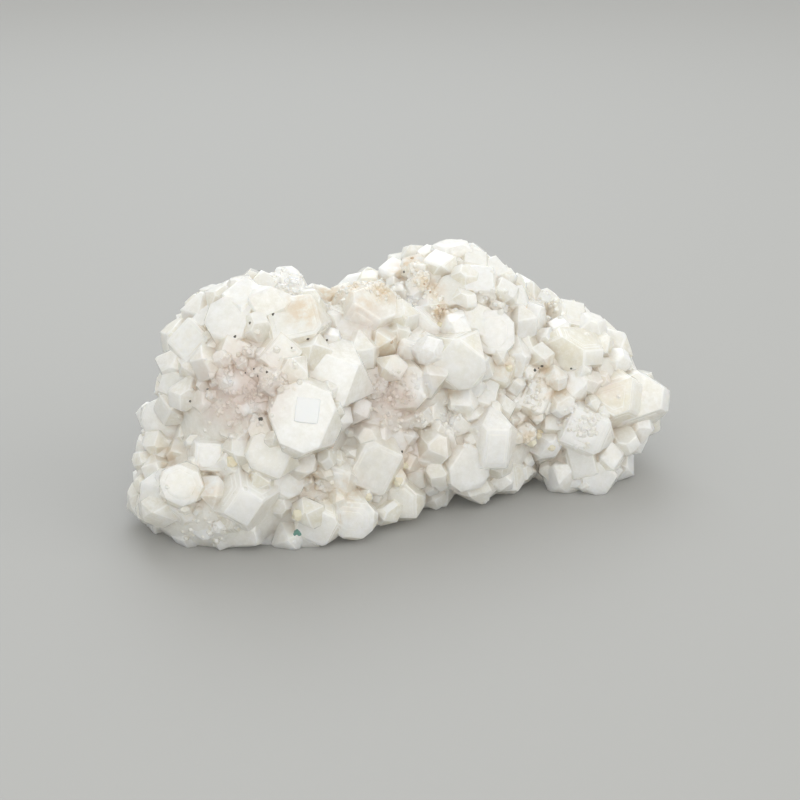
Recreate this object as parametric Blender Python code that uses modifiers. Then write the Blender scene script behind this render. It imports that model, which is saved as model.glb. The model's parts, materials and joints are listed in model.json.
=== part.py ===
"""A hand-sized cluster of apophyllite: blocky, pyramid-capped crystals grown together as one solid.

Run with: blender --background --python part.py
Sizes are in millimetres, and MM turns them into metres. The front faces -Y, the length
lies along X, and the cluster rests on flat patches of its base at Z = 0.
"""

import math
import random

import bmesh
import bpy
from mathutils import Matrix, Vector
from mathutils.bvhtree import BVHTree

MM = 0.001
NAME = "apophyllite_cluster"
SEED = 11

# The front is laid out as it is seen from the display side: a point of view in front,
# to the left and above, at the distance from which the cluster was measured.
DISPLAY_AZIMUTH = math.radians(-24)
DISPLAY_ELEVATION = math.radians(22)
DISPLAY_DISTANCE = 389 * MM
DISPLAY_CENTRE = Vector((-6, -22, 33)) * MM
# The middle of the footprint, moved to the origin at the end.
MIDDLE = Vector((1.6, 1.4, 0)) * MM

# Apophyllite's four pyramid faces stand over the prism's corners, 60 degrees from the flat end.
PYRAMID_ANGLE = math.radians(60.3)
# How far a face may stand from its ideal place, as a share of the half width.
UNEVEN = 0.20
# How deep the front crystals sit behind the surface of the core, as a share of their width.
SUNK = 0.31
# Length over width of a crystal, most of which is hidden in the core.
STRETCH = 1.2

# The massive core is a few rounded lumps: centre, then half sizes.
CORE_LUMPS = [
    ((-34, 2, 27), (23.5, 25, 31)),
    ((-46, -3, 9), (20.5, 20, 15)),
    ((-22, -9, 7), (25, 17, 13)),
    ((14, -6, 13), (27, 19, 12.5)),
    ((-5, 3, 24), (31, 23, 26)),
    ((20, 7, 28), (27, 24, 30)),
    ((44, 0, 21), (24.5, 22, 20)),
    ((60, -14, 17), (10, 11, 10)),
    ((49, -12.5, 6), (12, 15, 12)),
]
CORE_VOXEL = 2.2
CORE_SHARE = 0.07
CORE_ROUGHNESS = 2.0
CORE_GRAIN = 9.0

# The crystals of the front, one to a row:
# across and up on the display side, width, how far it stands out, lean to the right and
# upwards for each unit towards the viewer, turn about its own axis, size of the flat end.
FRONT_CRYSTALS = [
    # the left end
    (-57.0, -4.5, 11.5, 2.5, -0.2, -0.1, 30, 0.75),
    (-61.5, -4.0, 7.0, 0.0, -1.0, 0.1, 10, 0.6),
    (-62.0, -12.0, 8.0, 0.0, -0.6, -0.1, 40, 0.5),
    (-53.8, -21.0, 10.0, 4.5, 0.0, 0.0, 20, 0.9),
    (-58.5, -23.0, 11.0, 0.0, -0.4, -0.3, 40, 0.5),
    (-58.0, -14.0, 8.5, 0.0, 0.2, 0.0, 0, 0.8),
    (-61.5, -19.0, 7.0, 0.0, -0.9, 0.0, 15, 0.7),
    (-46.0, -14.0, 12.0, 1.0, -0.1, 0.0, 45, 0.7),
    (-40.0, -6.0, 11.5, 0.0, 0.3, -0.5, 0, 0.3),
    (-40.0, -12.0, 8.0, 0.0, 0.4, 0.2, 30, 0.8),
    (-32.5, -13.0, 12.0, 2.5, 0.1, -0.1, 20, 0.8),
    (-38.5, -22.5, 16.5, 2.5, 0.1, -0.3, 10, 0.4),
    (-31.0, -19.5, 10.0, 0.0, 0.6, 0.0, 5, 0.9),
    (-25.5, -16.0, 8.0, 0.0, 0.1, 0.2, 25, 0.8),
    (-28.0, -24.5, 6.0, 0.0, 0.3, 0.4, 50, 0.6),
    (-24.5, -26.0, 6.5, 0.0, -0.3, 0.1, 70, 0.6),
    (-39.0, -32.0, 7.5, 0.0, 3.0, 0.2, 5, 0.9),
    (-31.0, -34.5, 9.5, 3.5, 0.2, -0.2, 30, 0.7),
    (-23.5, -34.0, 7.5, 3.5, 0.1, -0.4, 60, 0.6),
    (-48.0, -31.0, 6.0, -1.0, -0.3, -0.3, 15, 0.7),
    (-44.5, -34.0, 5.5, -1.0, 0.3, -0.3, 60, 0.7),
    (-54.0, -28.0, 5.5, -1.5, -0.5, -0.3, 35, 0.7),
    (-52.5, -27.0, 8.5, 0.0, -0.4, 0.3, 25, 0.5),
    (-44.0, -28.5, 9.0, 0.0, 0.5, 0.4, 65, 0.5),
    (-54.0, 4.0, 10.0, 0.0, -0.4, 0.1, 35, 0.5),
    (-50.0, 13.0, 11.5, 0.0, -0.4, 0.3, 15, 0.6),
    (-55.0, 5.0, 8.0, 0.0, -0.9, 0.3, 30, 0.6),
    (-54.5, 13.0, 6.0, 0.0, -0.9, 0.4, 50, 0.6),
    (-51.0, 18.0, 7.0, 0.0, -0.8, 0.7, 20, 0.7),
    # the top of the left lobe
    (-41.0, 17.5, 12.0, -0.5, -0.1, 0.4, 35, 0.8),
    (-27.5, 17.0, 15.0, -0.5, 0.1, 0.4, 55, 0.8),
    (-46.0, 19.0, 8.0, 0.0, -0.5, 0.8, 25, 0.7),
    (-48.0, 21.5, 5.5, 0.0, -0.6, 0.8, 50, 0.7),
    (-41.5, 25.0, 7.0, 0.0, -0.2, 0.9, 15, 0.7),
    (-38.0, 21.5, 12.0, 0.0, -0.1, 0.8, 10, 0.6),
    (-28.0, 27.0, 9.0, 0.0, 0.0, 0.8, 50, 0.8),
    (-33.5, 27.0, 7.5, 0.0, 0.0, 0.7, 15, 0.6),
    (-41.0, 12.0, 9.0, 0.0, 0.1, 0.1, 20, 0.6),
    (-31.0, 11.0, 10.5, 0.0, 0.2, 0.1, 0, 0.6),
    (-29.5, 4.0, 8.0, 0.0, 0.3, 0.0, 35, 0.6),
    (-44.0, 7.0, 7.5, 0.0, -0.1, -0.2, 55, 0.6),
    (-43.0, 4.5, 5.5, 0.0, 0.1, 0.6, 10, 0.8),
    (-36.0, 7.5, 7.5, 0.0, 0.2, -0.3, 75, 0.5),
    (-48.0, 0.0, 7.5, 0.0, 0.3, 0.1, 40, 0.6),
    (-37.0, -2.0, 5.0, 0.0, 0.1, 0.5, 20, 0.9),
    # the middle
    (-23.8, -5.0, 17.0, 3.0, 0.05, 0.1, 20, 0.8),
    (-17.0, 5.5, 15.5, 3.5, 0.0, 0.0, 25, 0.8),
    (-12.0, 13.5, 11.5, 0.0, 0.1, 0.8, 30, 0.9),
    (-8.0, 20.0, 19.0, 2.0, -0.2, -0.3, 15, 0.5),
    (-15.5, 17.5, 10.0, 0.0, -0.4, 0.3, 35, 0.7),
    (-3.0, 13.0, 6.5, 0.0, 0.3, -0.3, 20, 0.6),
    (4.0, 24.5, 9.0, 0.0, 0.1, 0.5, 40, 0.3),
    (5.0, 18.0, 12.0, 0.0, 0.0, -0.1, 5, 0.8),
    (3.0, 11.0, 12.0, 0.0, 0.0, -0.2, 30, 0.6),
    (1.5, 3.5, 12.0, 0.0, -0.1, -0.1, 50, 0.7),
    (6.5, 3.0, 7.5, 0.0, 0.5, 0.3, 45, 0.3),
    (13.5, 10.5, 13.5, 5.5, 0.1, -0.25, 5, 0.75),
    (16.5, 18.5, 11.5, -1.5, 0.4, 0.2, 20, 0.7),
    (23.0, 16.0, 11.5, -0.5, 0.0, 0.1, 0, 0.9),
    (18.0, 0.0, 10.5, 0.0, 0.2, 0.5, 20, 0.8),
    (12.5, 1.5, 6.0, 0.0, 0.1, -0.1, 0, 0.7),
    (7.5, -4.0, 8.5, 0.0, -0.2, 0.1, 50, 0.6),
    (13.0, -5.0, 8.0, 0.0, 0.1, 0.3, 30, 0.5),
    (10.0, -9.0, 9.0, 0.0, -0.1, -0.4, 15, 0.7),
    (-6.0, -8.0, 10.0, 0.0, 0.0, 0.2, 45, 0.6),
    (-2.5, -10.5, 8.0, 0.0, 0.3, 0.0, 10, 0.8),
    (-12.5, -9.5, 8.0, 0.0, -0.2, 0.1, 60, 0.7),
    (-7.0, -15.5, 14.0, 3.5, 0.2, -0.15, 15, 0.75),
    (-16.0, -18.0, 11.0, 2.0, -0.1, -0.2, 30, 0.7),
    (-20.0, -29.5, 10.5, 1.5, -0.1, -0.3, 20, 0.8),
    (-12.5, -27.5, 12.0, 1.0, 0.1, -0.2, 38, 0.8),
    (-6.5, -28.0, 5.5, 0.0, 0.3, -0.4, 20, 0.7),
    (-0.5, -23.8, 12.0, 1.5, 0.0, -0.3, 45, 0.75),
    (5.0, -13.5, 8.0, 0.0, 0.1, 0.1, 30, 0.7),
    (1.0, -12.5, 6.5, 0.0, -0.2, 0.2, 75, 0.7),
    (3.0, -18.5, 8.0, 0.0, 0.2, -0.4, 50, 0.6),
    (-1.0, 30.0, 8.0, 0.0, -0.3, 1.0, 25, 0.8),
    (-20.0, 23.0, 9.0, 0.0, 0.0, 0.7, 20, 0.8),
    (-10.0, 25.0, 9.5, -1.0, -0.3, 0.8, 70, 0.9),
    (4.0, 31.5, 8.0, 0.0, 0.1, 0.8, 60, 0.8),
    (6.5, 28.0, 7.5, 0.0, 0.1, 0.5, 15, 0.7),
    (12.0, 25.0, 9.0, 0.0, 0.1, 0.5, 10, 0.8),
    # the right lobe and its skyline
    (11.5, 33.0, 9.5, 0.0, -0.2, 1.0, 30, 0.5),
    (17.5, 32.0, 9.0, 0.0, 0.3, 1.0, 15, 0.7),
    (22.5, 30.0, 9.0, 0.0, 0.5, 0.9, 50, 0.7),
    (26.5, 28.0, 6.5, 0.0, 0.6, 0.9, 20, 0.6),
    (33.5, 23.0, 7.5, 0.0, 0.5, 0.9, 0, 0.7),
    (19.0, 27.0, 12.0, 0.0, 0.2, 0.5, 35, 0.6),
    (27.5, 24.0, 8.5, 0.0, 0.2, 0.5, 45, 0.6),
    (31.0, 19.0, 11.0, 0.0, 0.1, 0.3, 20, 0.6),
    (30.0, 13.0, 10.5, 0.0, 0.0, 0.1, 65, 0.6),
    (40.5, 18.0, 14.0, 0.0, 0.4, 0.7, 20, 0.6),
    (42.0, 12.0, 16.0, 2.5, 0.8, -0.2, 35, 0.3),
    (46.5, 16.0, 7.5, 0.0, 0.8, 0.4, 15, 0.7),
    (24.0, 7.5, 10.0, 0.0, 0.1, 0.0, 25, 0.6),
    (27.5, 7.0, 6.0, 0.0, -0.2, 0.2, 45, 0.7),
    (27.0, 0.5, 9.0, 0.0, 0.0, 0.1, 50, 0.7),
    (33.5, 0.5, 11.0, 0.0, 0.0, 0.2, 20, 0.6),
    (36.0, 6.0, 6.5, 0.0, 0.2, 0.1, 70, 0.6),
    (43.0, 3.5, 9.5, 0.0, -0.2, 0.2, 0, 0.9),
    (57.2, -0.5, 18.0, 1.0, 1.5, -0.05, 15, 0.3),
    (51.5, -0.5, 16.0, 2.5, 1.5, -0.05, 15, 0.6),
    (48.5, 5.5, 9.5, 0.0, 0.8, 0.6, 30, 0.6),
    (49.5, 12.5, 6.5, -0.5, 0.9, 0.5, 40, 0.7),
    (45.0, -6.5, 14.5, 3.0, 0.0, -0.1, 22, 0.8),
    (56.0, -9.0, 9.0, 0.0, 0.4, -0.2, 15, 0.7),
    (52.0, -13.5, 7.5, 0.0, 0.1, -0.1, 30, 0.8),
    (45.0, -14.0, 11.0, 0.0, 0.0, -0.2, 60, 0.7),
    (48.5, -18.5, 9.5, 0.0, 0.2, -0.2, 10, 0.8),
    (44.0, -19.0, 7.5, 0.0, -0.1, -0.2, 45, 0.5),
    (38.5, -18.5, 6.5, 0.0, 0.2, -0.3, 20, 0.6),
    (32.0, -17.0, 10.5, 0.0, 0.2, -0.3, 30, 0.6),
    (26.5, -18.0, 10.5, 0.0, -0.2, -0.3, 55, 0.6),
    (21.5, -20.0, 7.5, 0.0, 0.1, -0.3, 5, 0.7),
    (9.5, -22.5, 7.0, 0.0, 0.0, -0.4, 40, 0.7),
    (6.0, -24.0, 6.5, 0.0, 0.0, -0.4, 25, 0.7),
    (22.0, -9.5, 14.0, 3.0, 0.2, -0.35, 40, 0.6),
    (14.0, -16.0, 12.0, 0.0, 0.5, -0.1, 0, 0.9),
    (33.0, -11.0, 6.5, 0.0, 0.1, 0.0, 35, 0.7),
    (36.0, -9.0, 6.0, 0.0, 0.3, 0.3, 65, 0.7),
    (29.0, -5.5, 7.5, 0.0, -0.1, 0.1, 15, 0.6),
    (37.5, -5.0, 7.5, 0.0, 0.1, 0.1, 40, 0.7),
]

# The rest of the surface is covered by crystals scattered at least this far apart.
SCATTER_GAP = 8.5
SCATTER_WIDTHS = (9.0, 15.0)
BACK_SCALE = 1.45
FILL_GAP = 5.6
FILL_WIDTHS = (5.0, 8.5)
UNDERSIDE_LIMIT = -0.55


def display_frame():
    """The display side's right, up and towards-the-viewer directions, and the viewpoint."""
    back = Vector(
        (
            math.sin(DISPLAY_AZIMUTH) * math.cos(DISPLAY_ELEVATION),
            -math.cos(DISPLAY_AZIMUTH) * math.cos(DISPLAY_ELEVATION),
            math.sin(DISPLAY_ELEVATION),
        )
    )
    right = Vector((math.cos(DISPLAY_AZIMUTH), math.sin(DISPLAY_AZIMUTH), 0))
    return right, back.cross(right), back, DISPLAY_CENTRE + back * DISPLAY_DISTANCE


def clear_scene():
    for thing in list(bpy.data.objects):
        bpy.data.objects.remove(thing)


def new_collection(name):
    collection = bpy.data.collections.new(name)
    bpy.context.scene.collection.children.link(collection)
    return collection


def add_object(name, mesh, collection):
    thing = bpy.data.objects.new(name, mesh)
    collection.objects.link(thing)
    return thing


def as_tool(thing):
    """Marks a piece that is joined into the cluster or cut from it."""
    thing.hide_render = True
    thing.display_type = "WIRE"


def evaluated_mesh(thing):
    graph = bpy.context.evaluated_depsgraph_get()
    return bpy.data.meshes.new_from_object(thing.evaluated_get(graph))


def make_core(tools):
    """The massive core: rounded lumps run together, with a broken, uneven surface."""
    shape = bmesh.new()
    for centre, half in CORE_LUMPS:
        place = Matrix.Translation(Vector(centre) * MM) @ Matrix.Diagonal((*half, 1 / MM)) * MM
        bmesh.ops.create_icosphere(shape, subdivisions=4, radius=1, matrix=place)
    mesh = bpy.data.meshes.new("core")
    shape.to_mesh(mesh)
    shape.free()
    core = add_object("core", mesh, tools)
    remesh = core.modifiers.new("run together", "REMESH")
    remesh.mode = "VOXEL"
    remesh.voxel_size = CORE_VOXEL * MM
    grain = bpy.data.textures.new("broken surface", "CLOUDS")
    grain.noise_scale = CORE_GRAIN * MM
    rough = core.modifiers.new("broken surface", "DISPLACE")
    rough.texture = grain
    rough.texture_coords = "LOCAL"
    rough.strength = CORE_ROUGHNESS * MM
    fewer = core.modifiers.new("fewer faces", "DECIMATE")
    fewer.ratio = CORE_SHARE
    return core


def crystal_mesh(width, length, flat_end, rng):
    """A square prism centred on the origin, its ends cut by four pyramid faces and a flat face."""
    half, reach = width / 2, length / 2
    shape = bmesh.new()
    bmesh.ops.create_cube(shape, size=1)
    bmesh.ops.scale(shape, vec=(width * rng.uniform(0.88, 1.1), width, length), verts=shape.verts)
    for end in (1, -1):
        for corner in range(4):
            around = math.radians(45 + 90 * corner)
            outward = Vector((math.cos(around), math.sin(around), 0))
            from_axis = half * (flat_end + rng.uniform(-UNEVEN, UNEVEN))
            on_face = outward * from_axis + Vector((0, 0, end * reach))
            normal = outward * math.sin(PYRAMID_ANGLE) + Vector((0, 0, end * math.cos(PYRAMID_ANGLE)))
            cut_away(shape, on_face, normal)
    mesh = bpy.data.meshes.new("crystal")
    shape.to_mesh(mesh)
    shape.free()
    return mesh


def cut_away(shape, point, normal):
    """Removes what lies beyond a plane and closes the cut."""
    everything = shape.verts[:] + shape.edges[:] + shape.faces[:]
    cut = bmesh.ops.bisect_plane(
        shape, geom=everything, plane_co=point, plane_no=normal, clear_outer=True
    )
    edges = [piece for piece in cut["geom_cut"] if isinstance(piece, bmesh.types.BMEdge)]
    if edges:
        bmesh.ops.contextual_create(shape, geom=edges)


def add_crystal(tools, centre, axis, turn, width, length, flat_end, rng):
    mesh = crystal_mesh(width * MM, length * MM, flat_end, rng)
    crystal = add_object("crystal", mesh, tools)
    turned = axis.to_track_quat("Z", "Y").to_matrix() @ Matrix.Rotation(turn, 3, "Z")
    crystal.matrix_world = Matrix.Translation(centre) @ turned.to_4x4()
    as_tool(crystal)
    return crystal


def on_display_side(core, across, up):
    """Where the core is seen at a place on the display side, or the nearest pass beside it."""
    right, upward, _, eye = display_frame()
    through = DISPLAY_CENTRE + (right * across + upward * up) * MM
    ray = (through - eye).normalized()
    hit = core.ray_cast(eye, ray)[0]
    if hit is not None:
        return hit, ray
    steps = [eye + ray * (DISPLAY_DISTANCE + step * MM) for step in range(-60, 61, 2)]
    return min(steps, key=lambda point: core.find_nearest(point)[3]), ray


def add_front(tools, core, rng):
    """The crystals of the front, each centred where it is seen. Returns their centres."""
    right, upward, back, _ = display_frame()
    centres = []
    for across, up, width, lift, lean_right, lean_up, turn, flat_end in FRONT_CRYSTALS:
        place, ray = on_display_side(core, across, up)
        centre = place + ray * (SUNK * width - lift) * MM
        axis = (right * lean_right + upward * lean_up + back).normalized()
        add_crystal(tools, centre, axis, math.radians(turn), width, width * STRETCH, flat_end, rng)
        centres.append((centre, width))
    return centres


def surface_points(mesh, count, rng):
    """Points spread evenly by area over a mesh, each with the face's outward direction."""
    mesh.calc_loop_triangles()
    triangles = list(mesh.loop_triangles)
    weights = [triangle.area for triangle in triangles]
    points = []
    for triangle in rng.choices(triangles, weights, k=count):
        a, b, c = (mesh.vertices[v].co for v in triangle.vertices)
        s, t = rng.random(), rng.random()
        if s + t > 1:
            s, t = 1 - s, 1 - t
        points.append((a + (b - a) * s + (c - a) * t, triangle.normal.copy()))
    return points


def scatter(tools, mesh, taken, gap, widths, rng):
    """Grows crystals outwards from the core wherever no earlier one stands within the gap."""
    back = display_frame()[2]
    for point, normal in surface_points(mesh, 4000, rng):
        scale = 1 if normal.dot(back) > -0.4 else BACK_SCALE
        if normal.z < UNDERSIDE_LIMIT:
            continue
        if any((point - p).length < (gap * scale + w * 0.25) * MM for p, w in taken):
            continue
        width = rng.uniform(*widths) * scale
        lean = Vector([rng.uniform(-0.45, 0.45) for _ in range(3)])
        axis = (normal + lean).normalized()
        centre = point - normal * width * SUNK * MM
        turn, flat_end = rng.uniform(0, math.pi), rng.uniform(0.35, 0.85)
        add_crystal(tools, centre, axis, turn, width, width * STRETCH, flat_end, rng)
        taken.append((point, width))


def keep_largest(mesh):
    """Drops the small bodies that a union leaves shut inside or beside the main one."""
    shape = bmesh.new()
    shape.from_mesh(mesh)
    bmesh.ops.remove_doubles(shape, verts=shape.verts, dist=0.002 * MM)
    left, islands = set(shape.verts), []
    while left:
        island, edge = set(), [left.pop()]
        while edge:
            vertex = edge.pop()
            island.add(vertex)
            near = {e.other_vert(vertex) for e in vertex.link_edges} & left
            left -= near
            edge.extend(near)
        islands.append(island)
    largest = max(islands, key=len)
    loose = [vertex for vertex in shape.verts if vertex not in largest]
    bmesh.ops.delete(shape, geom=loose, context="VERTS")
    shape.to_mesh(mesh)
    shape.free()
    return mesh


def milky_white():
    """Translucent, cream-white apophyllite."""
    material = bpy.data.materials.new("apophyllite")
    material.use_nodes = True
    surface = material.node_tree.nodes["Principled BSDF"]
    surface.inputs["Base Color"].default_value = (0.80, 0.78, 0.72, 1)
    surface.inputs["Roughness"].default_value = 0.35
    surface.inputs["Metallic"].default_value = 0.0
    return material


def main():
    clear_scene()
    rng = random.Random(SEED)
    parts = new_collection(NAME)
    tools = new_collection("tools")
    grown = new_collection("crystals")

    core = make_core(tools)
    core_mesh = evaluated_mesh(core)
    tree_shape = bmesh.new()
    tree_shape.from_mesh(core_mesh)
    core_tree = BVHTree.FromBMesh(tree_shape)
    tree_shape.free()

    taken = add_front(grown, core_tree, rng)
    scatter(grown, core_mesh, taken, SCATTER_GAP, SCATTER_WIDTHS, rng)
    scatter(grown, core_mesh, taken, FILL_GAP, FILL_WIDTHS, rng)

    bpy.ops.mesh.primitive_cube_add(size=0.4, location=(0, 0, -0.2))
    ground = bpy.context.object
    ground.name = "ground"
    as_tool(ground)

    raw = add_object("raw", core_mesh, tools)
    join = raw.modifiers.new("grown together", "BOOLEAN")
    join.operation = "UNION"
    join.operand_type = "COLLECTION"
    join.collection = grown
    stand = raw.modifiers.new("flat rest", "BOOLEAN")
    stand.operation = "DIFFERENCE"
    stand.object = ground
    as_tool(core)

    cluster = add_object(NAME, keep_largest(evaluated_mesh(raw)), parts)
    as_tool(raw)
    cluster.data.materials.clear()
    cluster.data.materials.append(milky_white())
    cluster.data.transform(Matrix.Translation(-MIDDLE))
    cluster.data.shade_flat()


if __name__ == "__main__":
    main()
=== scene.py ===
# %% [markdown]
# # A cluster of apophyllite crystals
#
# Apophyllite grows in cavities of basalt as blocky, milky crystals with pyramid-shaped
# ends, and this piece is a hand-sized crowd of them on a massive base. The lesson grows the
# cluster the way nature did: a lumpy core, the large crystals on it, small ones between
# them, and last the sugary crust and the stains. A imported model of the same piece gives
# the frame, so everything here is in metres, in that model's coordinates.

# %% Load the frame
import json
import math
import random

import bmesh
import bpy
import numpy as np
from mathutils import Matrix, Vector
from mathutils.bvhtree import BVHTree
from mathutils.kdtree import KDTree

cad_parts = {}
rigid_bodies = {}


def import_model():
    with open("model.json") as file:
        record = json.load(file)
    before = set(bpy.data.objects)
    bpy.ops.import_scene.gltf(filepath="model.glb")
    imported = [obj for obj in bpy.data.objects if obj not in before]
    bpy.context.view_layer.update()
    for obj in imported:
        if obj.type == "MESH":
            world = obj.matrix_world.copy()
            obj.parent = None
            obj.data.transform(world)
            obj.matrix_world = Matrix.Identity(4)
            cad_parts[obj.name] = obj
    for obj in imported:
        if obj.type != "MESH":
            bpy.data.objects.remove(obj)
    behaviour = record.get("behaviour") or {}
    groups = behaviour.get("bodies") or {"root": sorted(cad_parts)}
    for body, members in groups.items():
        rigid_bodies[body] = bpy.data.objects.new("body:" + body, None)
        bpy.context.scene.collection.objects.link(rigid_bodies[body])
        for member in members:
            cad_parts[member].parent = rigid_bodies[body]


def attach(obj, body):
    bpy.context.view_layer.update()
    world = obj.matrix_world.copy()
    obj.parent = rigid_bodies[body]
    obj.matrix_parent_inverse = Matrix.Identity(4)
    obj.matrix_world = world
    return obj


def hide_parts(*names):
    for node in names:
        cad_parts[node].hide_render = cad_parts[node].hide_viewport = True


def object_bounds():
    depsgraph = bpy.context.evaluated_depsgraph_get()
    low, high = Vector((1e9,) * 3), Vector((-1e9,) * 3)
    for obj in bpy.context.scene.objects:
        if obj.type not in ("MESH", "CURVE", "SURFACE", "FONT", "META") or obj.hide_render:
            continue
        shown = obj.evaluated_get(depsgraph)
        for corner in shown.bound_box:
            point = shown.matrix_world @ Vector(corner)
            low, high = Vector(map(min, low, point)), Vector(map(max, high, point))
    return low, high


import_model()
cad_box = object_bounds()
print("frame size in mm:", [round((high - low) * 1000, 1) for low, high in zip(*cad_box)])

# %% [markdown]
# ## Working numbers
#
# Sizes are written in millimetres, and MM turns them into metres. The front was measured
# from one viewpoint, the display side: in front, to the left and a little above. A place on
# the display side is given by how far it lies across and up from the middle of that view.

# %% Display side
MM = 0.001
NAME = "apophyllite_cluster"
MIDDLE = Vector((1.6, 1.4, 0)) * MM
DISPLAY_AZIMUTH = math.radians(-24)
DISPLAY_ELEVATION = math.radians(22)
DISPLAY_DISTANCE = 389 * MM
DISPLAY_CENTRE = Vector((-6, -22, 33)) * MM

BACK = Vector((
    math.sin(DISPLAY_AZIMUTH) * math.cos(DISPLAY_ELEVATION),
    -math.cos(DISPLAY_AZIMUTH) * math.cos(DISPLAY_ELEVATION),
    math.sin(DISPLAY_ELEVATION),
))
RIGHT = Vector((math.cos(DISPLAY_AZIMUTH), math.sin(DISPLAY_AZIMUTH), 0))
UP = BACK.cross(RIGHT)
EYE = DISPLAY_CENTRE + BACK * DISPLAY_DISTANCE
print("the eye stands at", [round(v * 1000) for v in EYE], "mm")

# %% [markdown]
# ## Camera
#
# A 70 mm lens at that viewpoint gives the flat, close look of a specimen photograph. The
# matrix is built from the three directions of the display side, so the camera agrees
# exactly with the layout below.

# %% Camera
lens = bpy.data.cameras.new("specimen_camera")
lens.lens = 70
lens.sensor_width = 36
lens.clip_start = 10 * MM
camera = bpy.data.objects.new("specimen_camera", lens)
bpy.context.scene.collection.objects.link(camera)
turned = Matrix((RIGHT, UP, BACK)).transposed().to_4x4()
camera.matrix_world = Matrix.Translation(EYE - MIDDLE) @ turned
bpy.context.scene.camera = camera
print("camera", camera.name, "lens", lens.lens)

# %% [markdown]
# ## Floor and light
#
# Milky crystal is lit best from all sides. A bright, even world does most of it, and three
# soft lamps add shape: a broad one from above and behind the left shoulder, a weaker one on
# the right, and a cool one behind the top edge that makes the rims glow. No lamp reaches
# down to the floor, where its edge would draw a line. The floor is plain and pale, and
# darker than the stone so that its outline reads.


# %% Floor and light
def simple_material(name, colour, roughness):
    """A plain material for the stage."""
    material = bpy.data.materials.new(name)
    material.use_nodes = True
    surface = material.node_tree.nodes["Principled BSDF"]
    surface.inputs["Base Color"].default_value = (*colour, 1)
    surface.inputs["Roughness"].default_value = roughness
    return material


LAMP_AIM = Vector((0, 0, 0.03))
DAYLIGHT = (1.0, 0.985, 0.94)
SKYLIGHT = (0.90, 0.95, 1.0)


def add_lamp(name, place, size, watts, colour):
    """A square area lamp that faces the cluster."""
    bpy.ops.object.light_add(type="AREA", location=place)
    lamp = bpy.context.object
    lamp.name = name
    lamp.data.energy = watts
    lamp.data.size = size
    lamp.data.color = colour
    lamp.rotation_euler = (Vector(place) - LAMP_AIM).to_track_quat("Z", "Y").to_euler()


bpy.ops.mesh.primitive_plane_add(size=60)
floor = bpy.context.object
floor.name = "floor"
floor.data.materials.append(simple_material("pale floor", (0.32, 0.32, 0.315), 0.6))

add_lamp("key_lamp", (-0.40, -0.72, 0.50), 0.80, 3.0, DAYLIGHT)
add_lamp("fill_lamp", (0.60, -0.60, 0.50), 0.72, 2.35, DAYLIGHT)
add_lamp("rim_lamp", (0.15, 0.55, 0.70), 0.60, 2.6, SKYLIGHT)

studio = bpy.data.worlds.new("studio")
studio.use_nodes = True
background = studio.node_tree.nodes["Background"]
background.inputs["Color"].default_value = (0.985, 0.985, 0.955, 1)
background.inputs["Strength"].default_value = 1.05
bpy.context.scene.world = studio
bpy.context.scene.view_settings.view_transform = "Standard"

# %% [markdown]
# ## The massive core
#
# The crystals stand on a lump of massive, broken mineral. It is made as one would rough it
# out in clay: a few stretched spheres are joined, a voxel remesh runs them together into
# one skin, and a cloud pattern pushes the skin in and out. A decimated copy of it carries
# the layout, because crystals only need to know where the surface is and which way it faces.
# The core itself then swells a little, so that less of each crystal stands out.

# %% Tools for working on one object
def deselect_all():
    for thing in bpy.context.selected_objects:
        thing.select_set(False)


def work_on(thing):
    """Makes this the only selected object, and the active one."""
    deselect_all()
    thing.select_set(True)
    bpy.context.view_layer.objects.active = thing


def apply_modifiers(thing):
    work_on(thing)
    for modifier in list(thing.modifiers):
        bpy.ops.object.modifier_apply(modifier=modifier.name)


def copy_of(thing, name):
    """A copy with its own mesh."""
    twin = thing.copy()
    twin.data = thing.data.copy()
    twin.name = name
    bpy.context.scene.collection.objects.link(twin)
    return twin


# %% Rough out the core
CORE_LUMPS = [
    ((-34, 2, 27), (23.5, 25, 31)),
    ((-46, -3, 9), (20.5, 20, 15)),
    ((-22, -9, 7), (25, 17, 13)),
    ((14, -6, 13), (27, 19, 12.5)),
    ((-5, 3, 24), (31, 23, 26)),
    ((20, 7, 28), (27, 24, 30)),
    ((44, 0, 21), (24.5, 22, 20)),
    ((60, -14, 17), (10, 11, 10)),
    ((49, -12.5, 6), (12, 15, 12)),
]
CORE_VOXEL = 2.2
CORE_ROUGHNESS = 2.0
CORE_GRAIN = 9.0
CORE_SHARE = 0.07
CORE_SWELL = 1.2

lumps = []
for centre, half in CORE_LUMPS:
    deselect_all()
    bpy.ops.mesh.primitive_ico_sphere_add(subdivisions=4, radius=1)
    lump = bpy.context.object
    stretched = Matrix.Diagonal((*half, 1 / MM))
    lump.data.transform(Matrix.Translation(Vector(centre) * MM) @ stretched * MM)
    lumps.append(lump)
deselect_all()
for lump in lumps:
    lump.select_set(True)
bpy.context.view_layer.objects.active = lumps[0]
bpy.ops.object.join()
core = bpy.context.object
core.name = "core"

remesh = core.modifiers.new("run together", "REMESH")
remesh.mode = "VOXEL"
remesh.voxel_size = CORE_VOXEL * MM
broken = bpy.data.textures.new("broken surface", "CLOUDS")
broken.noise_scale = CORE_GRAIN * MM
rough = core.modifiers.new("broken surface", "DISPLACE")
rough.texture = broken
rough.texture_coords = "LOCAL"
rough.strength = CORE_ROUGHNESS * MM
apply_modifiers(core)

layout_core = copy_of(core, "layout core")
swell = core.modifiers.new("swell", "DISPLACE")
swell.mid_level = 0
swell.strength = CORE_SWELL * MM
apply_modifiers(core)
fewer = layout_core.modifiers.new("fewer faces", "DECIMATE")
fewer.ratio = CORE_SHARE
apply_modifiers(layout_core)
print("core faces:", len(core.data.polygons), "layout faces:", len(layout_core.data.polygons))

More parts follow.
